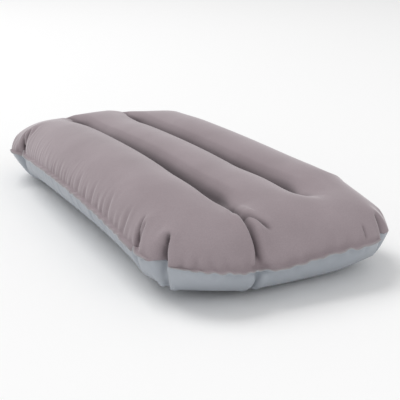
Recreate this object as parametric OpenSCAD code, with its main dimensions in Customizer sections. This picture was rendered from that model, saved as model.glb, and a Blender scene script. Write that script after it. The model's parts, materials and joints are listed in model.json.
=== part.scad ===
// Inflatable camp pillow: two welded sheets, two inner bands that make three long
// chambers, and a push-in air valve in the wall of the far end.
// Millimetres. +X runs along the pillow, +Z is up, the origin is on the floor at its middle.

/* [Overall] */
// Length over the welded rim
pillow_length = 500; // [450:5:550]
// Width over the welded rim
pillow_width = 242; // [230:2:280]
// Height when inflated
pillow_height = 84; // [80:1:94]
// Height of the rim weld above the floor
seam_height = 36; // [35:1:40]

/* [Plan] */
// Length of each slanted corner, measured along the pillow
corner_length = 48; // [35:1:60]
// Width of each slanted corner, measured across the pillow
corner_width = 50; // [40:1:60]
// How far each long side bows in at its middle
side_bow = 5; // [0:0.5:8]
// Distance from the rim over which a wall curves in to the flat
wall_curve = 50; // [45:1:60]

/* [Chambers] */
// Distance between the two grooves
groove_spacing = 70; // [64:1:76]
// Length of each groove
groove_length = 380; // [350:5:400]
// Depth of each groove in the top
groove_depth = 15; // [10:1:20]
// Width of each groove
groove_width = 32; // [24:1:36]

/* [Sheets] */
// Thickness of a sheet, with its flock
sheet_thickness = 1; // [0.8:0.1:1.4]
// Width of the welded rim
rim_width = 5; // [4:0.5:7]
// Thickness of one sheet's half of the rim
rim_thickness = 0.8; // [0.6:0.1:1.2]
// Thickness of an inner band
band_thickness = 0.6; // [0.4:0.1:1]

/* [Valve] */
// Angle of the valve's axis below the horizontal
valve_tilt = 20; // [18:1:22]
// Height of the valve's middle above the floor
valve_height = 18.5; // [18:0.5:19.5]
// Radius of the valve's welded flange
flange_radius = 10.5; // [10:0.1:11.5]
// Radius of the air passage
passage_radius = 3.7; // [3.6:0.05:3.8]
// How far the stem pulls out
stem_travel = 8; // [5:0.5:9]
// Depth of the plug in the stem
plug_depth = 4.2; // [3:0.1:4.4]

/* [Hidden] */

flock_colour = [0.62, 0.58, 0.60];
film_colour = [0.57, 0.60, 0.64];
band_colour = [0.70, 0.73, 0.76];
valve_colour = [0.50, 0.54, 0.58];
plug_colour = [0.42, 0.46, 0.50];

// Plan of the inflated body, inside the rim
half_length = pillow_length / 2 - rim_width;
half_width = pillow_width / 2 - rim_width;
end_half_width = half_width - corner_width;

// Steps of the sheets' grid along and across the pillow
steps_long = 44;
steps_wide = 32;

// A wall's section is a quarter of a superellipse with this power
wall_power = 3;

// How much deeper than the floor the bottom would bulge, so that it lies flat
floor_press = 1.06;

// Groove ends fade out over this length
groove_fade = 24;

// Gap between a band's edge and the sheet that it is welded to, and the least gap
// between two moving valve pieces
weld_gap = 0.2;
running_gap = 0.3;

// Valve, along its own axis: 0 is the wall's surface and + points out of the pillow
pad_radius = flange_radius + 1.5;
pad_face = 1;
pad_depth = 5;
flange_thickness = 1.2;
flange_face = pad_face + flange_thickness;
sleeve_wall = 1.2;
sleeve_bore = passage_radius + 2.3;
sleeve_radius = sleeve_bore + sleeve_wall;
sleeve_depth = 7;
stem_radius = sleeve_bore - running_gap;
lip_thickness = 1.2;
lip_radius = sleeve_bore + 2.6;
lip_back = flange_face + running_gap;
lip_face = lip_back + lip_thickness;
stop_thickness = 1.5;
stop_radius = sleeve_bore + 1;
stem_back = -sleeve_depth - stem_travel - running_gap - stop_thickness;
plug_top = lip_face + running_gap;
plug_radius = passage_radius - 0.45;
plug_tip_radius = plug_radius - 0.95;
cap_radius = passage_radius + 1.4;
cap_thickness = 1.2;
strap_width = 4;
strap_thickness = 0.7;
strap_reach = lip_radius - 0.2;
strap_root_radius = 0.45;
strap_root_height = plug_top + 0.6;
flap_radius = passage_radius + 1.3;
flap_thickness = 0.5;
flap_hinge = flap_radius + 0.8;

// Where the valve's axis meets the wall
valve_share = (1 - valve_height / seam_height) / floor_press;
valve_inset = wall_curve * (1 - pow(1 - pow(valve_share, wall_power), 1 / wall_power));
valve_x = -(half_length - valve_inset);

// ---- Shape of the inflated sheets ----

// 0 at the rim, 1 from wall_curve inwards
function rise(inset) =
    let (q = 1 - min(max(inset, 0), wall_curve) / wall_curve)
    pow(max(0, 1 - pow(q, wall_power)), 1 / wall_power);

// 1 on the grooves' straight length, 0 past their ends
function along_groove(x) =
    let (t = min(1, max(0, (groove_length / 2 + groove_fade - abs(x)) / groove_fade)))
    t * t * (3 - 2 * t);

// Share of groove_depth at a point
function groove(x, y) =
    let (near = (abs(y) - groove_spacing / 2) / (groove_width / 2))
    along_groove(x) * exp(-2.5 * near * near);

// Half width of the body at x
function half_width_at(x) =
    let (past = max(0, abs(x) - (half_length - corner_length)))
    let (bow = side_bow * max(0, 1 - pow(x / (half_length - corner_length), 2)))
    half_width - bow - corner_width * past / corner_length;

// Share of the full bulge at a point, for a body made smaller all round by inset
function bulge(x, y, inset) =
    rise(half_length - inset - abs(x)) * rise(half_width_at(x) - inset - abs(y));

// Height of the top's outer and inner faces
function top_outer(x, y) =
    let (base = seam_height + rim_thickness)
    base + (pillow_height - base) * bulge(x, y, 0) - groove_depth * groove(x, y) * bulge(x, y, 0);
function top_inner(x, y) =
    let (full = pillow_height - sheet_thickness - seam_height)
    seam_height + (full - groove_depth * groove(x, y)) * bulge(x, y, sheet_thickness);

// Height of the bottom's outer and inner faces
function bottom_outer(x, y) =
    let (base = seam_height - rim_thickness)
    max(0, base - base * floor_press * bulge(x, y, 0));
function bottom_inner(x, y) =
    let (depth = seam_height - sheet_thickness)
    max(sheet_thickness, seam_height - depth * floor_press * bulge(x, y, sheet_thickness));

// Grid step i of n as a place from -1 to 1, closer together near the rim
function spread(i, n) =
    let (t = 2 * min(max(i, 0), n) / n - 1)
    sign(t) * (1 - pow(1 - abs(t), 1.7));

// Plan position of a grid point; steps -1 and n + 1 are the rim's outer edge
function plan(i, j, inset) =
    let (x = (half_length - inset) * spread(i, steps_long))
    let (y = (half_width_at(x) - inset) * spread(j, steps_wide))
    let (out_x = i < 0 ? -1 : i > steps_long ? 1 : 0)
    let (out_y = j < 0 ? -1 : j > steps_wide ? 1 : 0)
    [x + out_x * (rim_width + inset), y + out_y * (rim_width + inset)];

function on_rim(i, j) = i <= 0 || j <= 0 || i >= steps_long || j >= steps_wide;

function outer_point(i, j, top) =
    let (p = plan(i, j, 0))
    let (edge = seam_height + (top ? rim_thickness : -rim_thickness))
    [p.x, p.y, on_rim(i, j) ? edge : top ? top_outer(p.x, p.y) : bottom_outer(p.x, p.y)];

function inner_point(i, j, top) =
    let (p = plan(i, j, sheet_thickness))
    [p.x, p.y, on_rim(i, j) ? seam_height : top ? top_inner(p.x, p.y) : bottom_inner(p.x, p.y)];

// Two triangles of the quad a, b, c, d
function halves(a, b, c, d) = [[a, b, c], [a, c, d]];

// A sheet as one closed solid: an outer grid, an inner grid and the edge between them
module sheet(top) {
    rows = steps_long + 3;
    cols = steps_wide + 3;
    count = rows * cols;
    outer = [for (i = [-1 : steps_long + 1], j = [-1 : steps_wide + 1]) outer_point(i, j, top)];
    inner = [for (i = [-1 : steps_long + 1], j = [-1 : steps_wide + 1]) inner_point(i, j, top)];
    skin = [for (i = [0 : rows - 2], j = [0 : cols - 2])
        let (a = i * cols + j, b = a + cols, c = b + 1, d = a + 1)
        each halves(a, d, c, b)];
    lining = [for (f = skin) [f[2] + count, f[1] + count, f[0] + count]];
    ring = concat(
        [for (i = [0 : rows - 2]) i * cols],
        [for (j = [0 : cols - 2]) (rows - 1) * cols + j],
        [for (i = [rows - 1 : -1 : 1]) i * cols + cols - 1],
        [for (j = [cols - 1 : -1 : 1]) j]);
    edge = [for (k = [0 : len(ring) - 1])
        let (a = ring[k], b = ring[(k + 1) % len(ring)])
        each halves(a, b, b + count, a + count)];
    faces = concat(skin, lining, edge);
    points = concat(outer, inner);
    polyhedron(points, top ? faces : [for (f = faces) [f[2], f[1], f[0]]]);
}

// Upright band between the sheets, under the groove at y
module band(y) {
    steps = 38;
    xs = [for (i = [0 : steps]) groove_length * (i / steps - 0.5)];
    points = [for (x = xs) each [
        [x, y - band_thickness / 2, bottom_inner(x, y) + weld_gap],
        [x, y + band_thickness / 2, bottom_inner(x, y) + weld_gap],
        [x, y + band_thickness / 2, top_inner(x, y) - weld_gap],
        [x, y - band_thickness / 2, top_inner(x, y) - weld_gap]]];
    sides = [for (i = [0 : steps - 1], k = [0 : 3])
        let (a = 4 * i + k, b = 4 * i + (k + 1) % 4)
        each halves(a, a + 4, b + 4, b)];
    last = 4 * steps;
    ends = [[0, 1, 2], [0, 2, 3], [last + 2, last + 1, last], [last + 3, last + 2, last]];
    polyhedron(points, concat(sides, ends));
}

// ---- Valve pieces, drawn along +Z of the valve's own axis ----

// Moves a piece from the valve's own axis to its place in the end wall
module at_valve() {
    translate([valve_x, 0, valve_height]) rotate([0, -90 - valve_tilt, 0]) children();
}

// A round solid between two places on the valve's axis
module disc(radius, from, to) {
    translate([0, 0, from]) cylinder(r = radius, h = to - from, $fn = 64);
}

// A round bar across the valve's axis, which a hinged piece turns about
module hinge_bar(out, along, radius) {
    translate([out, -strap_width / 2, along])
        rotate([-90, 0, 0]) cylinder(r = radius, h = strap_width, $fn = 32);
}

module top_sheet() {
    color(flock_colour) sheet(true);
}

// The bottom's wall is thickened to a flat pad round the valve
module bottom_sheet() {
    color(film_colour) difference() {
        union() {
            sheet(false);
            at_valve() disc(pad_radius, pad_face - pad_depth, pad_face);
        }
        at_valve() disc(sleeve_radius + weld_gap, -pad_depth - 3, pad_face + 3);
    }
}

module front_band() {
    color(band_colour) band(-groove_spacing / 2);
}

module rear_band() {
    color(band_colour) band(groove_spacing / 2);
}

// Welded flange with the sleeve that the stem slides in
module valve_base() {
    color(valve_colour) at_valve() difference() {
        union() {
            disc(flange_radius, pad_face, flange_face);
            disc(sleeve_radius, -sleeve_depth, flange_face);
        }
        disc(sleeve_bore, -sleeve_depth - 1, flange_face + 1);
    }
}

// Mouthpiece tube with a lip outside and a stop inside
module valve_stem() {
    color(valve_colour) at_valve() difference() {
        union() {
            disc(stem_radius, stem_back, lip_face);
            disc(lip_radius, lip_back, lip_face);
            disc(stop_radius, stem_back, stem_back + stop_thickness);
        }
        disc(passage_radius, stem_back - 1, lip_face + 1);
    }
}

// Thin flap that closes the stem's inner end
module valve_flap() {
    flap_face = stem_back - running_gap;
    color(band_colour) at_valve() {
        disc(flap_radius, flap_face - flap_thickness, flap_face);
        translate([0, -strap_width / 2, flap_face - flap_thickness])
            cube([flap_hinge, strap_width, flap_thickness]);
        hinge_bar(flap_hinge, flap_face - flap_thickness / 2, flap_thickness / 2);
    }
}

// Tapered plug with its cap
module valve_plug() {
    color(plug_colour) at_valve() {
        disc(cap_radius, plug_top, plug_top + cap_thickness);
        translate([0, 0, lip_face - plug_depth])
            cylinder(r1 = plug_tip_radius, r2 = plug_radius, h = plug_depth + running_gap, $fn = 64);
    }
}

// Strap from the cap to its root on the stem's lip
module plug_strap() {
    strap_from = plug_top + cap_thickness;
    strap_to = strap_from + strap_thickness;
    color(plug_colour) at_valve() {
        translate([0, -strap_width / 2, strap_from])
            cube([strap_reach, strap_width, strap_thickness]);
        translate([strap_reach - strap_root_radius, -strap_width / 2, strap_root_height])
            cube([2 * strap_root_radius, strap_width, strap_to - strap_root_height]);
        hinge_bar(strap_reach, strap_root_height, strap_root_radius);
    }
}

top_sheet();
bottom_sheet();
front_band();
rear_band();
valve_base();
valve_stem();
valve_flap();
valve_plug();
plug_strap();
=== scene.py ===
"""The looks of an inflatable camp pillow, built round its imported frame.

Two sheets are cut flat, welded round the rim, tied together by two inner bands and blown up by a
small cloth simulation. Everything is in metres, +Z up, +X along the pillow.
"""

import json
import math

import bpy
import numpy as np
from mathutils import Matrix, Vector


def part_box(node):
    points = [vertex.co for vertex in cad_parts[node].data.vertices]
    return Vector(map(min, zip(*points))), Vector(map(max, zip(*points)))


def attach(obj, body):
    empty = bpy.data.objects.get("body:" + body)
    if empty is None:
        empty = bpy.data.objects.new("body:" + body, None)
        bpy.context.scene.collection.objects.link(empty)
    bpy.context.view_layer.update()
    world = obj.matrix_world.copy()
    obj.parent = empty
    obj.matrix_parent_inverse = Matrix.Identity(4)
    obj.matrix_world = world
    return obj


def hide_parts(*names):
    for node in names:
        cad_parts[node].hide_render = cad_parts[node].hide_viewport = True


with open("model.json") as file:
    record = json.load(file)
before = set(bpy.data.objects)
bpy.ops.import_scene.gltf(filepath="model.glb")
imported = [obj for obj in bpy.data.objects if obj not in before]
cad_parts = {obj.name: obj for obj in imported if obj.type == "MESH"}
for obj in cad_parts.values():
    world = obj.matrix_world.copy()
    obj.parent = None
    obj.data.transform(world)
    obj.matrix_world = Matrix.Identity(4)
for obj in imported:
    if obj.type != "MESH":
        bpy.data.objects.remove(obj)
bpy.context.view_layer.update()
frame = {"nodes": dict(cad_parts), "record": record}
MM = 0.001

# ---- The flat cut, in metres ----

CUT_LENGTH = 0.5255
CUT_WIDTH = 0.283
CORNER_RADIUS = 0.077
NEAR_END_BOW = 0.014
FAR_END_BOW = 0.014
SIDE_BOW = 0.001
RIM_WIDTH = 0.004
BAND_HEIGHT = 0.037
BAND_END_HEIGHT = 0.054

# The inner bands: the node, the place across, and where the band starts and ends along the cut
BANDS = (
    ("front_band", -0.035, -0.236, 0.200),
    ("rear_band", 0.044, -0.236, 0.192),
)

# Folds where the rim gathers, in order round the cut: the place along and across, how far along the
# rim the fold reaches, and its depth
GATHERS = (
    (0.192, -0.140, 0.036, 0.003),
    (0.238, -0.117, 0.028, 0.007),
    (0.168, 0.142, 0.036, 0.006),
    (-0.205, 0.138, 0.040, 0.009),
    (-0.263, 0.050, 0.036, 0.009),
    (-0.263, -0.045, 0.036, 0.008),
    (-0.183, -0.141, 0.036, 0.007),
)

# Sharp creases pressed into each sheet: the ends on the cut, the depth and half the width
TOP_CREASES = (
    ((0.278, -0.037), (0.180, -0.036), 9 * MM, 5 * MM),
    ((0.224, -0.032), (0.249, -0.018), 3 * MM, 4 * MM),
    ((0.238, -0.118), (0.224, -0.106), 4 * MM, 3 * MM),
    ((0.192, -0.140), (0.183, -0.108), 2.5 * MM, 3 * MM),
    ((-0.183, -0.143), (-0.190, -0.105), 4 * MM, 4 * MM),
    ((0.270, 0.074), (0.250, 0.071), 2 * MM, 3 * MM),
)
BOTTOM_CREASES = (
    ((0.278, -0.037), (0.215, -0.035), 6 * MM, 4 * MM),
    ((0.241, -0.115), (0.205, -0.095), 6 * MM, 4 * MM),
)
GROOVE_CREASE = 9 * MM
GROOVE_CREASE_WIDTH = 21 * MM

# Creases and grooves are nothing at the first distance from the weld and whole at the second
CLEAR_OF_WELD = (2 * MM, 8 * MM)

# A notch in the rim where the crease of the near end runs out: its place, depth and reach
NOTCH_PLACE = (0.277, -0.037)
NOTCH_DEPTH = 7 * MM
NOTCH_REACH = 9 * MM

# Small points of the rim beside the folds: the place on the cut and how far they stand out
TIPS = (
    (0.246, -0.110, 4.0 * MM),
    (0.276, -0.048, 2.5 * MM),
    (0.277, -0.026, 2.0 * MM),
    (0.252, 0.103, 5.0 * MM),
    (-0.236, -0.121, 4.0 * MM),
)
TIP_REACH = 6 * MM

# Settling on the floor: share of the height kept above and below the seam, how far each end's top
# sinks, how far the near end's seam dips and where across, how far the seam rises in the middle of
# the sides, and how much wider the middle settles
ABOVE_SEAM = 0.98
BELOW_SEAM = 0.84
NEAR_END_SLOPE = 10 * MM
FAR_END_SLOPE = 8 * MM
SEAM_DIP = 7 * MM
SEAM_DIP_PLACE = -0.022
SEAM_DIP_REACH = 0.050
SIDE_SEAM_RISE = 5 * MM
MIDDLE_SPREAD = 0.09

# Where those changes start and reach their full size: from the middle along, from the middle line
# across, and the half length that the middle's spread covers
NEAR_SLOPE_ALONG = (0.12, 0.26)
FAR_SLOPE_ALONG = (0.10, 0.24)
SEAM_DIP_ALONG = (0.20, 0.26)
SIDE_RISE_ACROSS = (0.07, 0.11)
SPREAD_HALF_LENGTH = 0.23

# Heights of the fine wrinkles and of the waves in the rim
TOP_WRINKLE = 0.37 * MM
BOTTOM_WRINKLE = 0.25 * MM
RIM_WAVE = 0.30 * MM

# Thickness of each sheet, the flock included
TOP_THICKNESS = 0.7 * MM
BOTTOM_THICKNESS = 0.5 * MM
BAND_THICKNESS = 0.3 * MM

# Grid steps of the simulation, from coarse to fine: size of a step, number of rounds, stiffness in
# bending, stiffness against crumpling
LEVELS = (
    (0.0050, 700, 0.10, 0.10),
    (0.0035, 250, 0.10, 0.20),
    (0.0025, 160, 0.15, 0.12),
)

# The valve's frame: its axis points out of the pillow, and distances along it are from the wall
SLIDE = next(j for j in frame["record"]["behaviour"]["joints"] if j["name"] == "stem_slide")
VALVE_AXIS = np.array(SLIDE["axis"], float)
VALVE_AXIS /= np.linalg.norm(VALVE_AXIS)
VALVE_UP = np.array([VALVE_AXIS[2], 0, -VALVE_AXIS[0]])
STRAP_HINGE = next(j for j in frame["record"]["behaviour"]["joints"] if j["name"] == "plug_hinge")
HINGE_OUT, HINGE_ALONG = 8.4 * MM, 4.6 * MM
VALVE_PLACE = np.array(STRAP_HINGE["pos_m"]) - HINGE_OUT * VALVE_UP - HINGE_ALONG * VALVE_AXIS
FLANGE_BACK = 1.0 * MM
FLAT_RADIUS = 11 * MM
HOLE_RADIUS = 7.4 * MM


# ---- Blowing the pillow up ----

def smooth_step(value, start, end):
    """0 at start, 1 at end, and an even curve between them."""
    t = np.clip((value - start) / (end - start), 0, 1)
    return t * t * (3 - 2 * t)


def flat_cut(step):
    """Grid over the cut with its rim: an array of rows across by steps along by x, y."""
    count_x = int(round(CUT_LENGTH / step / 2)) * 2 + 1
    count_y = int(round(CUT_WIDTH / step / 2)) * 2 + 1
    half_x, half_y = CUT_LENGTH / 2, CUT_WIDTH / 2
    xs = np.linspace(-half_x, half_x, count_x)
    ys = np.linspace(-half_y, half_y, count_y)
    xs = np.concatenate([[-half_x - RIM_WIDTH], xs, [half_x + RIM_WIDTH]])
    ys = np.concatenate([[-half_y - RIM_WIDTH], ys, [half_y + RIM_WIDTH]])
    x, y = np.meshgrid(xs, ys)
    centre_x, centre_y = half_x - CORNER_RADIUS, half_y - CORNER_RADIUS
    reach = CORNER_RADIUS + RIM_WIDTH
    p = np.clip((np.abs(x) - centre_x) / reach, 0, 1)
    q = np.clip((np.abs(y) - centre_y) / reach, 0, 1)
    corner = (p > 0) & (q > 0)
    round_x = np.sign(x) * (centre_x + reach * p * np.sqrt(1 - q * q / 2))
    round_y = np.sign(y) * (centre_y + reach * q * np.sqrt(1 - p * p / 2))
    x = np.where(corner, round_x, x)
    y = np.where(corner, round_y, y)
    bow = np.where(x > 0, NEAR_END_BOW, FAR_END_BOW)
    bow = bow * np.clip(1 - (y / half_y) ** 2, 0, 1) * (x / half_x) ** 3
    side_bow = SIDE_BOW * np.clip(1 - (x / half_x) ** 2, 0, 1) * (y / half_y) ** 3
    return np.stack([x + bow, y + side_bow], -1)


def ring_of(rows, columns, inset):
    """Grid places of the ring that lies inset steps inside the outermost one."""
    last_row, last_column = rows - 1 - inset, columns - 1 - inset
    ring = [(inset, i) for i in range(inset, last_column)]
    ring += [(j, last_column) for j in range(inset, last_row)]
    ring += [(last_row, i) for i in range(last_column, inset, -1)]
    ring += [(j, inset) for j in range(last_row, inset, -1)]
    return ring


def walk(ring, cut, start, sign, distance):
    """The ring's place that lies distance away from place number start."""
    i, gone = start, 0.0
    while gone < distance:
        after = (i + sign) % len(ring)
        gone += np.linalg.norm(cut[ring[after]] - cut[ring[i]])
        i = after
    return ring[i]


class Pillow:
    """Two sheets on one grid: points is sheet (0 top, 1 bottom) by row by column by x, y, z."""

    def __init__(self, cut, step, bend, crumple, points=None):
        self.cut = cut
        self.step_area = step * step
        self.crumple = crumple
        rows, columns = cut.shape[:2]
        self.points = self.flat_points() if points is None else points
        self.points[..., 2] += self.ripple()
        self.speed = np.zeros_like(self.points)
        self.welded = np.ones((rows, columns), bool)
        self.welded[2:-2, 2:-2] = False
        pulls = ((0, 1, 1.0), (1, 0, 1.0), (1, 1, 0.6), (1, -1, 0.6), (0, 2, bend), (2, 0, bend))
        self.pulls = [(dj, di, share, self.rest(dj, di)) for dj, di, share in pulls]
        self.bands = [self.find_band(*band) for band in BANDS]
        self.gathers = [g for inset in (0, 1) for g in self.find_gathers(inset)]
        self.floor = None

    def flat_points(self):
        """The two sheets lying flat, parted a little away from the rim."""
        points = np.zeros((2, *self.cut.shape[:2], 3))
        points[..., :2] = self.cut
        x, y = np.abs(self.cut[..., 0]), np.abs(self.cut[..., 1])
        inset = np.minimum(x.max() - x, y.max() - y)
        part = 8 * MM * np.clip(inset / 0.05, 0, 1)
        points[0, ..., 2] = part
        points[1, ..., 2] = -part
        return points

    def ripple(self):
        """A slight unevenness, so that the sheet buckles as real film does."""
        noise = np.random.default_rng(1).normal(size=self.cut.shape[:2]) * 0.4 * MM
        for _ in range(2):
            around = [np.roll(noise, s, a) for s, a in ((1, 0), (-1, 0), (1, 1), (-1, 1))]
            noise = (noise + sum(around)) / 5
        return noise

    def rest(self, dj, di):
        rows, columns = self.cut.shape[:2]
        far = self.cut[dj:, max(0, di):columns + min(0, di)]
        near = self.cut[:rows - dj, max(0, -di):columns - max(0, di)]
        return np.linalg.norm(far - near, axis=-1)

    def find_band(self, name, place, start, end):
        """A band's row on the grid, its columns, and its height at each."""
        rows, columns = self.cut.shape[:2]
        row = int(np.argmin(np.abs(self.cut[:, columns // 2, 1] - place)))
        along = self.cut[row, :, 0]
        held = np.where((along >= start) & (along <= end))[0]
        from_end = np.minimum(along[held] - start, end - along[held])
        flare = 1 - smooth_step(from_end, 0, 0.1)
        return row, held, (BAND_HEIGHT + (BAND_END_HEIGHT - BAND_HEIGHT) * flare)[:, None]

    def find_gathers(self, inset):
        ring = ring_of(*self.cut.shape[:2], inset)
        places = np.array([self.cut[p] for p in ring])
        found = []
        for x, y, width, depth in GATHERS:
            middle = int(np.argmin(((places - [x, y]) ** 2).sum(-1)))
            before = walk(ring, self.cut, middle, -1, width / 2)
            after = walk(ring, self.cut, middle, 1, width / 2)
            found.append((before, after, ring[middle], depth))
        return found

    def weld(self):
        both = self.points[:, self.welded].mean(0)
        self.points[:, self.welded] = both

    def pressure(self):
        """Push on each point: its share of the area round it, outwards."""
        p = self.points
        area = 0.5 * np.cross(p[:, 1:, 1:] - p[:, :-1, :-1], p[:, 1:, :-1] - p[:, :-1, 1:])
        area[1] *= -1
        area[:, 0] = area[:, -1] = 0
        area[:, :, 0] = area[:, :, -1] = 0
        push = np.zeros_like(p)
        for rows in (slice(None, -1), slice(1, None)):
            for columns in (slice(None, -1), slice(1, None)):
                push[:, rows, columns] += area / 4
        return push / self.step_area

    def hold_lengths(self, dj, di, share, rest):
        """Moves pairs of points towards their distance on the cut, in sets with no point in common."""
        rows, columns = self.cut.shape[:2]
        step = dj if dj else di
        size, reach = (rows, dj) if dj else (columns, di)
        for start in range(2 * step):
            near = slice(start, size - reach, 2 * step)
            count = len(range(*near.indices(size)))
            if count <= 0:
                continue
            far = slice(start + reach, start + reach + (count - 1) * 2 * step + 1, 2 * step)
            if dj:
                left = slice(max(0, -di), columns - max(0, di))
                right = slice(max(0, di), columns + min(0, di))
                a, b, r = self.points[:, near, left], self.points[:, far, right], rest[near]
            else:
                a, b, r = self.points[:, :, near], self.points[:, :, far], rest[:, near]
            apart = b - a
            length = np.sqrt(np.einsum("...k,...k", apart, apart))
            error = 1 - r / np.maximum(length, 1e-9)
            if step == 1:
                error = np.where(error < 0, error * self.crumple, error)
            move = (0.5 * share * error)[..., None] * apart
            a += move
            b -= move

    def hold_bands(self):
        for row, held, height in self.bands:
            top, bottom = self.points[0, row, held], self.points[1, row, held]
            apart = top - bottom
            length = np.linalg.norm(apart, axis=-1, keepdims=True)
            move = 0.5 * apart * np.maximum(length - height, 0) / np.maximum(length, 1e-9)
            self.points[0, row, held] = top - move
            self.points[1, row, held] = bottom + move

    def hold_gathers(self):
        for before, after, middle, depth in self.gathers:
            a, b = self.points[0][before], self.points[0][after]
            inwards = np.array([a[1] - b[1], b[0] - a[0], 0.0])
            inwards /= np.linalg.norm(inwards)
            here = self.points[0][middle]
            gap = (a + b) / 2 + inwards * depth - here
            self.points[:, middle[0], middle[1]] = here + gap * [0.3, 0.3, 0.1]

    def step(self, push, drag):
        self.speed = (self.speed + push * self.pressure()) * drag
        before = self.points.copy()
        self.points += self.speed
        self.weld()
        for pull in self.pulls:
            self.hold_lengths(*pull)
        self.hold_bands()
        self.hold_gathers()
        self.weld()
        if self.floor is not None:
            self.points[..., 2] = np.maximum(self.points[..., 2], self.floor)
        self.speed = self.points - before
        fastest = 3 * MM
        rate = np.linalg.norm(self.speed, axis=-1, keepdims=True)
        self.speed *= np.minimum(1, fastest / np.maximum(rate, 1e-12))


def resample(points, rows, columns):
    """The same surface on a finer grid, which keeps the rim's one step of its own."""
    def places(old, new):
        t = np.concatenate([[0], 1 + np.arange(new - 2) * (old - 3) / (new - 3), [old - 1]])
        i = np.clip(np.floor(t).astype(int), 0, old - 2)
        return i, t - i
    j, fj = places(points.shape[1], rows)
    i, fi = places(points.shape[2], columns)
    fj, fi = fj[None, :, None, None], fi[None, None, :, None]
    near = (1 - fi) * points[:, j][:, :, i] + fi * points[:, j][:, :, i + 1]
    far = (1 - fi) * points[:, j + 1][:, :, i] + fi * points[:, j + 1][:, :, i + 1]
    return (1 - fj) * near + fj * far


def blow_up():
    """The inflated pillow, as a Pillow whose points are in the simulation's own place."""
    full_push, last_push = 3e-5, 3e-6
    floor_lift = 5 * MM
    pillow = None
    for step, rounds, bend, crumple in (LEVELS):
        cut = flat_cut(step)
        if pillow is None:
            pillow = Pillow(cut, step, bend, crumple)
            for n in range(rounds):
                pillow.step(full_push * (1 - n / rounds) ** 2 + last_push, 0.97)
                if n == rounds // 2:
                    pillow.floor = pillow.points[..., 2].min() + floor_lift
        else:
            finer = Pillow(cut, step, bend, crumple, resample(pillow.points, *cut.shape[:2]))
            finer.floor = pillow.floor
            pillow = finer
            for _ in range(rounds):
                pillow.step(last_push, 0.95)
    return pillow


def settle(points):
    """Lays the pillow on the floor: the bottom flattens, the ends slope and the middle spreads."""
    points = points - [0, 0, points[..., 2].min()]
    seam = np.median(points[0, 0, :, 2])
    above = points[..., 2] - seam
    share = BELOW_SEAM + (ABOVE_SEAM - BELOW_SEAM) * smooth_step(above, -8 * MM, 8 * MM)
    height = seam * BELOW_SEAM + above * share
    low_part = np.clip(height / (seam * BELOW_SEAM), 0, 1)
    high_part = np.clip(above / above.max(), 0, 1)
    height -= NEAR_END_SLOPE * high_part * smooth_step(points[..., 0], *NEAR_SLOPE_ALONG)
    height -= FAR_END_SLOPE * high_part * smooth_step(-points[..., 0], *FAR_SLOPE_ALONG)
    dip = SEAM_DIP * np.exp(-((points[..., 1] - SEAM_DIP_PLACE) / SEAM_DIP_REACH) ** 2)
    dip *= smooth_step(points[..., 0], *SEAM_DIP_ALONG)
    middle = np.clip(1 - (points[..., 0] / SPREAD_HALF_LENGTH) ** 2, 0, 1) ** 2
    rise = SIDE_SEAM_RISE * middle * smooth_step(np.abs(points[..., 1]), *SIDE_RISE_ACROSS)
    height += (rise - dip) * low_part * (1 - high_part) ** 2
    points[..., 2] = np.maximum(height, 0)
    points[..., 1] *= 1 + MIDDLE_SPREAD * middle
    return points


def fit_to_frame(points):
    """Brings the simulated pillow to its sheets' CAD box: it is already within a few per cent."""
    low, high = points.reshape(-1, 3).min(0), points.reshape(-1, 3).max(0)
    want_low = np.array(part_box("bottom_sheet")[0])
    want_high = np.array(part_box("top_sheet")[1])
    want_low[:2] = np.minimum(want_low, np.array(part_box("top_sheet")[0]))[:2]
    want_low += [TOP_THICKNESS, TOP_THICKNESS, BOTTOM_THICKNESS]
    want_high -= TOP_THICKNESS
    return want_low + (points - low) * (want_high - want_low) / (high - low)


# ---- Finer detail than the simulation's grid ----

def refine(values, axis):
    """Doubles a grid along an axis with a smooth curve through its points."""
    v = np.moveaxis(values, axis, 0)
    padded = np.concatenate([2 * v[:1] - v[1:2], v, 2 * v[-1:] - v[-2:-1]])
    middle = (9 * (padded[1:-2] + padded[2:-1]) - padded[:-3] - padded[3:]) / 16
    fine = np.zeros((2 * len(v) - 1, *v.shape[1:]))
    fine[::2], fine[1::2] = v, middle
    return np.moveaxis(fine, 0, axis)


def grid_normals(p):
    """Unit normals of a grid of points, on the left of its rows' direction."""
    along = np.gradient(p, axis=1)
    across = np.gradient(p, axis=0)
    normal = np.cross(along, across)
    return normal / np.maximum(np.linalg.norm(normal, axis=-1, keepdims=True), 1e-12)


def side_wrinkles(along, inset, start, end, strength, seed):
    """Fine ridges that rise from the weld: heights over a side, 1 for a strong one."""
    draw = np.random.default_rng(seed)
    height = np.zeros_like(along)
    place = start
    while place < end:
        reach = draw.uniform(18, 42) * MM
        width = draw.uniform(1.7, 2.6) * MM
        size = draw.uniform(0.35, 1.0)
        lean = draw.normal(0, 0.10)
        apart = (along - place - lean * inset) / width
        fade = smooth_step(inset, 1 * MM, 7 * MM) * (1 - smooth_step(inset, 0.35 * reach, reach))
        height += size * fade * (np.exp(-apart ** 2) - 0.4 * np.exp(-(apart - 1.7) ** 2))
        place += draw.uniform(6.5, 11) * MM
    return strength * height


def insets(cut):
    """How far each place of the cut lies from the weld at the sides and at the ends."""
    x, y = cut[..., 0], cut[..., 1]
    side = CUT_WIDTH / 2 + SIDE_BOW * (1 - (2 * x / CUT_LENGTH) ** 2)
    bow = np.where(x > 0, NEAR_END_BOW, FAR_END_BOW) * (1 - (2 * y / CUT_WIDTH) ** 2)
    return side - np.abs(y), CUT_LENGTH / 2 + bow - np.abs(x)


def inner_share(cut, start, end):
    """0 near the weld, and 1 from the distance end inwards."""
    from_side, from_end = insets(cut)
    return smooth_step(from_side, start, end) * smooth_step(from_end, start, end)


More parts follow.
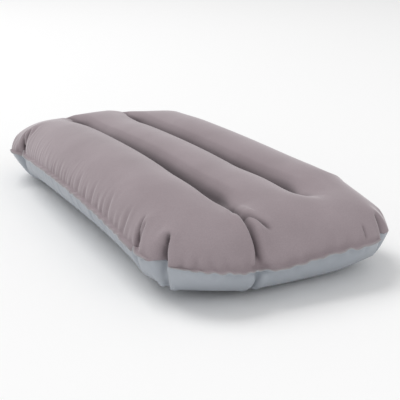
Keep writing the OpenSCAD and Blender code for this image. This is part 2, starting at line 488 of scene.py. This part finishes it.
def crease(cut, start, end, depth, half_width, full=0.6):
    """How far one crease pushes a sheet in: all of it over the first share, nothing at its end."""
    start, end = np.array(start), np.array(end)
    line = end - start
    along = (cut - start) @ line / (line @ line)
    foot = start + np.clip(along, 0, 1)[..., None] * line
    apart = np.linalg.norm(cut - foot, axis=-1) / half_width
    valley = np.clip(1 - apart, 0, 1) ** 1.5 - 0.12 * np.exp(-((apart - 1.6) / 0.6) ** 2)
    return depth * valley * (1 - smooth_step(along, full, 1.0))


def creases(cut, lines):
    """How far a sheet's creases push it in."""
    return sum(crease(cut, *line) for line in lines) * inner_share(cut, *CLEAR_OF_WELD)


def grooves(cut):
    """How far the top sheet is drawn down along the inner bands, beyond the simulation's own pull."""
    depth = np.zeros(cut.shape[:2])
    for _, place, start, end in BANDS:
        middle = ((start + end) / 2, place)
        for tip in (start, end):
            half = crease(cut, middle, (tip, place), GROOVE_CREASE, GROOVE_CREASE_WIDTH, 0.8)
            depth = np.maximum(depth, half * ((cut[..., 0] - middle[0]) * (tip - middle[0]) >= 0))
    return depth * inner_share(cut, *CLEAR_OF_WELD)


def wrinkles(cut):
    """Height of the fine wrinkles all over a sheet."""
    x, y = cut[..., 0], cut[..., 1]
    from_side, from_end = insets(cut)
    front = side_wrinkles(x, from_side, -0.185, 0.115, 1.0, 2) * (y < 0)
    rear = side_wrinkles(x, from_side, -0.170, 0.170, 0.8, 3) * (y > 0)
    near = side_wrinkles(y, from_end, -0.015, 0.075, 0.5, 4) * (x > 0)
    far = side_wrinkles(y, from_end, -0.040, 0.050, 0.5, 5) * (x < 0)
    return front + rear + near + far


def rim_waves(cut):
    """Slight up and down of the welded rim."""
    x, y = cut[..., 0], cut[..., 1]
    from_side = CUT_WIDTH / 2 - np.abs(y)
    from_end = CUT_LENGTH / 2 + NEAR_END_BOW - np.abs(x)
    near_rim = 1 - smooth_step(np.minimum(from_side, from_end), -RIM_WIDTH, 6 * MM)
    turn = np.arctan2(y / CUT_WIDTH, x / CUT_LENGTH)
    wave = np.sin(41 * turn + 1) + 0.7 * np.sin(67 * turn + 2.5) + 0.5 * np.sin(113 * turn)
    return near_rim * wave


def rim_notch(cut):
    """How far both sheets draw back where the near end's crease runs out at the rim."""
    apart = np.linalg.norm(cut - np.array(NOTCH_PLACE), axis=-1)
    return NOTCH_DEPTH * np.exp(-(apart / NOTCH_REACH) ** 2)


def rim_tips(cut):
    """How far the rim stands out in small points beside the folds."""
    from_side, from_end = insets(cut)
    on_rim = 1 - smooth_step(np.minimum(from_side, from_end), 0, 5 * MM)
    tips = sum(
        height * np.exp(-(np.linalg.norm(cut - np.array((x, y)), axis=-1) / TIP_REACH) ** 2)
        for x, y, height in TIPS
    )
    return on_rim * tips


# ---- Meshes ----

def new_object(name, vertices, faces):
    mesh = bpy.data.meshes.new(name)
    mesh.from_pydata([tuple(v) for v in vertices], [], faces)
    mesh.update()
    mesh.polygons.foreach_set("use_smooth", [True] * len(mesh.polygons))
    piece = bpy.data.objects.new(name, mesh)
    bpy.context.scene.collection.objects.link(piece)
    return piece


def quads_of(rows, columns):
    j, i = np.meshgrid(np.arange(rows - 1), np.arange(columns - 1), indexing="ij")
    a = (j * columns + i).ravel()
    return np.stack([a, a + 1, a + columns + 1, a + columns], -1)


def sheet_object(name, inner, outer, hole=None):
    """A closed solid between two grids of points. hole marks the quads that are left out."""
    rows, columns = inner.shape[:2]
    quads = quads_of(rows, columns)
    if hole is not None:
        quads = quads[~hole.ravel()]
    count = rows * columns
    faces = [tuple(q) for q in quads + count] + [tuple(q[::-1]) for q in quads]
    sides = {}
    for q in quads:
        for k in range(4):
            a, b = int(q[k]), int(q[(k + 1) % 4])
            if sides.pop((b, a), None) is None:
                sides[(a, b)] = True
    faces += [(a, b, b + count, a + count) for a, b in sides]
    vertices = np.concatenate([inner.reshape(-1, 3), outer.reshape(-1, 3)])
    used = np.unique(quads)
    used = np.concatenate([used, used + count])
    number = {int(v): k for k, v in enumerate(used)}
    faces = [tuple(number[int(v)] for v in f) for f in faces]
    return new_object(name, vertices[used], faces), used % count


def store(piece, name, values):
    layer = piece.data.attributes.new(name, "FLOAT", "POINT")
    layer.data.foreach_set("value", np.asarray(values, np.float32))


def rim_share(cut):
    """1 on the sheet's cut edge, 0 inside it."""
    share = np.ones(cut.shape[:2])
    share[1:-1, 1:-1] = 0
    return share


def beside(values, reach):
    """Averages of the two neighbours of each place on a grid, along and across."""
    edge = ((reach, reach), (reach, reach)) + ((0, 0),) * (values.ndim - 2)
    wide = np.pad(values, edge, mode="edge")
    along = (wide[reach:-reach, 2 * reach:] + wide[reach:-reach, :-2 * reach]) / 2
    across = (wide[2 * reach:, reach:-reach] + wide[:-2 * reach, reach:-reach]) / 2
    return along, across


def painted_shade_share(cut, surface, normal):
    """Share of painted shade on the flock: 1 in a sharp crease of the surface, 0 where it is flat or
    bulges and close to the weld.
    """
    share = np.zeros(surface.shape[:2])
    for reach, most, clear in ((2, 1.0, 4 * MM), (5, 0.9, 6 * MM), (11, 0.6, 16 * MM)):
        along, across = beside(surface, reach)
        lift = ((along + across - 2 * surface) * normal).sum(-1)
        here = most * smooth_step(lift / (reach * MM), 0.05, 0.60)
        share = np.maximum(share, here * inner_share(cut, clear, 2.5 * clear))
    for _ in range(4):
        along, across = beside(share, 1)
        share = (2 * share + along + across) / 4
    return share


def make_top(cut, surface):
    normal = grid_normals(surface)
    surface = surface - normal * (creases(cut, TOP_CREASES) + grooves(cut))[..., None]
    normal = grid_normals(surface)
    # Painted shade: how dark the flock is painted in sharp creases and grooves, kept as a point
    # attribute
    painted_shade = painted_shade_share(cut, surface, normal)
    surface = surface + normal * (TOP_WRINKLE * wrinkles(cut))[..., None]
    outer = surface + TOP_THICKNESS * grid_normals(surface)
    piece, used = sheet_object("top_sheet_flocked", surface, outer)
    store(piece, "rim", rim_share(cut).ravel()[used])
    store(piece, "painted_shade", painted_shade.ravel()[used])
    return piece


def make_bottom(cut, surface):
    normal = -grid_normals(surface)
    pressed = BOTTOM_WRINKLE * wrinkles(cut) - creases(cut, BOTTOM_CREASES)
    surface = surface + normal * pressed[..., None]
    surface, hole = seat_valve(cut, surface)
    outer = surface - BOTTOM_THICKNESS * grid_normals(surface)
    outer[..., 2] = np.maximum(outer[..., 2], 0)
    surface[..., 2] = np.maximum(surface[..., 2], outer[..., 2] + 0.2 * MM)
    piece, used = sheet_object("bottom_sheet_film", outer, surface, hole)
    store(piece, "rim", rim_share(cut).ravel()[used])
    return piece


def seat_valve(cut, surface):
    """Draws the film out to the valve's flange, and marks the quads that the valve's hole takes."""
    apart = surface - VALVE_PLACE
    out = apart @ VALVE_AXIS
    radius = np.hypot(apart @ VALVE_UP, apart[..., 1])
    inset = CUT_LENGTH / 2 + FAR_END_BOW - np.abs(cut[..., 0])
    share = 1 - smooth_step(radius, FLAT_RADIUS, FLAT_RADIUS + 12 * MM)
    share *= smooth_step(inset, 2 * MM, 9 * MM) * (cut[..., 0] < 0) * (out > -30 * MM)
    move = share * (FLANGE_BACK - BOTTOM_THICKNESS - 0.1 * MM - out)
    surface = surface + move[..., None] * VALVE_AXIS
    gone = (radius < HOLE_RADIUS) & (share > 0.5)
    hole = gone[:-1, :-1] & gone[1:, :-1] & gone[:-1, 1:] & gone[1:, 1:]
    return surface, hole


def make_band(name, top, bottom):
    """The inner band between the two weld lines, bowed very slightly."""
    clear = [0, 0, 0.4 * MM]
    top = top - clear
    bottom = bottom + clear
    steps = np.linspace(0, 1, 13)[:, None, None]
    surface = bottom + (top - bottom) * steps
    bow = 0.6 * MM * np.sin(math.pi * steps[..., 0]) * np.sin(np.arange(len(top)) * 0.9)[None]
    surface[..., 1] += bow
    sheet = surface + [0, BAND_THICKNESS, 0]
    piece, _ = sheet_object(name, sheet, surface)
    return piece


# ---- Materials ----

class Paint:
    """A short way to write a node material."""

    def __init__(self, name):
        self.material = bpy.data.materials.new(name)
        self.material.use_nodes = True
        self.nodes = self.material.node_tree.nodes
        self.links = self.material.node_tree.links
        self.shader = self.nodes["Principled BSDF"]

    def add(self, kind, inputs=(), **settings):
        node = self.nodes.new(kind)
        for key, value in settings.items():
            setattr(node, key, value)
        for key, value in dict(inputs).items():
            self.put(node.inputs[key], value)
        return node

    def put(self, socket, value):
        if isinstance(value, bpy.types.NodeSocket):
            self.links.new(value, socket)
        else:
            socket.default_value = value

    def noise(self, scale, detail=3.0, roughness=0.5, stretch=(1, 1, 1)):
        place = self.add("ShaderNodeTexCoord").outputs["Object"]
        mapped = self.add("ShaderNodeMapping", {"Vector": place, "Scale": stretch}).outputs[0]
        node = self.add(
            "ShaderNodeTexNoise",
            {"Vector": mapped, "Scale": scale, "Detail": detail, "Roughness": roughness},
        )
        return node.outputs["Fac"]

    def spread(self, value, low, high):
        """Maps a noise's middle range to low..high."""
        node = self.add(
            "ShaderNodeMapRange",
            {"Value": value, "From Min": 0.3, "From Max": 0.7, "To Min": low, "To Max": high},
        )
        return node.outputs["Result"]

    def math(self, operation, a, b):
        return self.add("ShaderNodeMath", {0: a, 1: b}, operation=operation).outputs[0]

    def mix(self, share, a, b):
        node = self.add("ShaderNodeMix", data_type="RGBA")
        for index, value in ((0, share), (6, a), (7, b)):
            self.put(node.inputs[index], value)
        return node.outputs[2]

    def bump(self, height, strength, distance, before=None):
        node = self.add(
            "ShaderNodeBump", {"Height": height, "Strength": strength, "Distance": distance}
        )
        if before is not None:
            self.links.new(before, node.inputs["Normal"])
        return node.outputs["Normal"]

    def surface(self, **inputs):
        for key, value in inputs.items():
            self.put(self.shader.inputs[key.replace("_", " ")], value)
        return self.material


def colour(red, green, blue):
    return (red, green, blue, 1.0)


def flock_material():
    """Short velvet flock: soft nap, brushed patches, a bare pressed rim and painted shade in creases.
    """
    paint = Paint("flock")
    patches = paint.noise(14, 3, 0.55)
    nap = paint.noise(900, 2, 0.6)
    grain = paint.noise(260, 2, 0.5)
    tone = paint.mix(
        paint.spread(patches, 0, 1), colour(0.315, 0.262, 0.279), colour(0.375, 0.315, 0.336)
    )
    tone = paint.mix(paint.spread(nap, 0, 0.22), tone, colour(0.20, 0.17, 0.182))
    rim = paint.add("ShaderNodeAttribute", attribute_name="rim").outputs["Fac"]
    tone = paint.mix(rim, tone, colour(0.35, 0.33, 0.34))
    # Painted shade: the flock is darkened towards near black in creases and grooves, where shade falls
    painted_shade = paint.add("ShaderNodeAttribute", attribute_name="painted_shade").outputs["Fac"]
    tone = paint.mix(paint.math("MULTIPLY", painted_shade, 0.75), tone, colour(0.06, 0.05, 0.055))
    height = paint.math("ADD", paint.math("MULTIPLY", nap, 0.6), paint.math("MULTIPLY", grain, 0.4))
    normal = paint.bump(height, 0.35, 0.4 * MM)
    normal = paint.bump(patches, 0.15, 2 * MM, normal)
    return paint.surface(
        Base_Color=tone, Roughness=0.95, Normal=normal, Sheen_Weight=0.85,
        Sheen_Roughness=0.32, Sheen_Tint=colour(0.95, 0.91, 0.93), Specular_IOR_Level=0.15,
    )


def film_material():
    """Smooth soft vinyl with a satin skin and faint creases."""
    paint = Paint("film")
    cloud = paint.noise(22, 3, 0.5)
    skin = paint.noise(420, 2, 0.5)
    folds = paint.noise(60, 3, 0.6, (1, 1, 2.5))
    tone = paint.mix(
        paint.spread(cloud, 0, 1), colour(0.350, 0.377, 0.416), colour(0.402, 0.428, 0.469)
    )
    rim = paint.add("ShaderNodeAttribute", attribute_name="rim").outputs["Fac"]
    tone = paint.mix(rim, tone, colour(0.38, 0.41, 0.44))
    normal = paint.bump(folds, 0.12, 1.5 * MM)
    normal = paint.bump(skin, 0.10, 0.2 * MM, normal)
    return paint.surface(
        Base_Color=tone, Roughness=paint.spread(cloud, 0.38, 0.50), Normal=normal,
        Specular_IOR_Level=0.45, Coat_Weight=0.12, Coat_Roughness=0.35,
    )


def band_material():
    """Thin clear-grey film of the inner bands."""
    paint = Paint("band")
    cloud = paint.noise(40, 2, 0.5)
    tone = paint.mix(
        paint.spread(cloud, 0, 1), colour(0.44, 0.48, 0.52), colour(0.52, 0.56, 0.60)
    )
    normal = paint.bump(paint.noise(150, 2, 0.5), 0.15, 0.5 * MM)
    return paint.surface(Base_Color=tone, Roughness=0.35, Normal=normal)


def moulded_material(name, tone):
    """Soft moulded vinyl of the valve."""
    paint = Paint(name)
    cloud = paint.noise(120, 2, 0.5)
    darker = tuple(0.86 * c for c in tone[:3]) + (1.0,)
    shade = paint.mix(paint.spread(cloud, 0, 1), darker, tone)
    normal = paint.bump(paint.noise(900, 2, 0.5), 0.12, 0.1 * MM)
    return paint.surface(
        Base_Color=shade, Roughness=paint.spread(cloud, 0.32, 0.44), Normal=normal
    )


def dress(piece, material):
    piece.data.materials.clear()
    piece.data.materials.append(material)
    return piece


# ---- Stage, light and camera ----

FLOOR_COLOUR = colour(0.96, 0.96, 0.96)
WORLD_STRENGTH = 0.62

# Lights: place, what they face, size and power
KEY_LIGHT = ((-2.0, -1.2, 3.6), (0, 0, 0.05), 3.0, 84)
FILL_LIGHT = ((1.9, 0.5, 1.1), (0, 0, 0.05), 1.6, 6.0)

# Camera: degrees round from the front, degrees up, distance, lens in millimetres and what it faces
CAMERA = (63.9, 17.59, 0.848, 81, (0.0861, -0.0106, 0.0400))


def make_floor():
    floor = new_object("floor", [(-6, -6, 0), (6, -6, 0), (6, 6, 0), (-6, 6, 0)], [(0, 1, 2, 3)])
    dress(floor, Paint("floor").surface(Base_Color=FLOOR_COLOUR, Roughness=0.9))


def make_light(name, place, aim, size, power):
    data = bpy.data.lights.new(name, "AREA")
    data.shape = "DISK"
    data.size = size
    data.energy = power
    lamp = bpy.data.objects.new(name, data)
    lamp.location = place
    lamp.rotation_euler = (Vector(aim) - Vector(place)).to_track_quat("-Z", "Y").to_euler()
    bpy.context.scene.collection.objects.link(lamp)


def make_world(strength):
    world = bpy.data.worlds.new("studio")
    world.use_nodes = True
    world.node_tree.nodes["Background"].inputs["Color"].default_value = (1, 1, 1, 1)
    world.node_tree.nodes["Background"].inputs["Strength"].default_value = strength
    bpy.context.scene.world = world


def make_camera(azimuth, elevation, distance, lens, aim):
    data = bpy.data.cameras.new("camera")
    data.lens = lens
    data.sensor_width = 36
    data.clip_start = 0.01
    turn, lift = math.radians(azimuth), math.radians(elevation)
    back = Vector((
        math.sin(turn) * math.cos(lift), -math.cos(turn) * math.cos(lift), math.sin(lift)
    ))
    camera = bpy.data.objects.new("camera", data)
    camera.location = Vector(aim) + back * distance
    camera.rotation_euler = (-back).to_track_quat("-Z", "Y").to_euler()
    bpy.context.scene.collection.objects.link(camera)
    bpy.context.scene.camera = camera


# ---- Building it all ----

def shape_rim(points, cut):
    """Adds the rim's waves, its notch and its small pointed tips."""
    points[..., 2] += RIM_WAVE * rim_waves(cut)
    points[..., 0] -= rim_notch(cut)
    outwards = cut / np.linalg.norm(cut, axis=-1, keepdims=True).clip(1 * MM)
    points[..., :2] += outwards * rim_tips(cut)[..., None]


def build_bands(pillow, drawn):
    """The inner bands, between the rows of the two sheets that each is welded to."""
    paint = band_material()
    bands = []
    for (name, _, start, end), (row, held, _) in zip(BANDS, pillow.bands):
        edges = [side[2 * row, 2 * held] for side in drawn]
        piece = dress(make_band(name + "_film", *edges), paint)
        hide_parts(name)
        bands.append(piece)
    return bands


def build_pillow():
    pillow = blow_up()
    points = fit_to_frame(settle(pillow.points))
    shape_rim(points, pillow.cut)
    cut = refine(refine(pillow.cut, 0), 1)
    fine = refine(refine(points, 1), 2)
    down = grid_normals(fine[0]) * grooves(cut)[..., None]
    top = dress(make_top(cut, fine[0]), flock_material())
    bottom = dress(make_bottom(cut, fine[1]), film_material())
    bands = build_bands(pillow, (fine[0] - down, fine[1]))
    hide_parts("top_sheet")
    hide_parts("bottom_sheet")
    for piece in (top, bottom, *bands):
        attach(piece, "pillow")


def build_valve():
    valve = moulded_material("valve", colour(0.22, 0.26, 0.30))
    plug = moulded_material("plug", colour(0.15, 0.18, 0.21))
    for node in ("valve_base", "valve_stem"):
        dress(frame["nodes"][node], valve)
    for node in ("valve_plug", "plug_strap"):
        dress(frame["nodes"][node], plug)
    dress(frame["nodes"]["valve_flap"], moulded_material("flap", colour(0.40, 0.44, 0.48)))


def build_studio():
    bpy.context.scene.view_settings.view_transform = "Standard"
    make_world(WORLD_STRENGTH)
    make_light("key", *KEY_LIGHT)
    make_light("fill", *FILL_LIGHT)
    make_floor()
    make_camera(*CAMERA)


build_studio()
build_pillow()
build_valve()
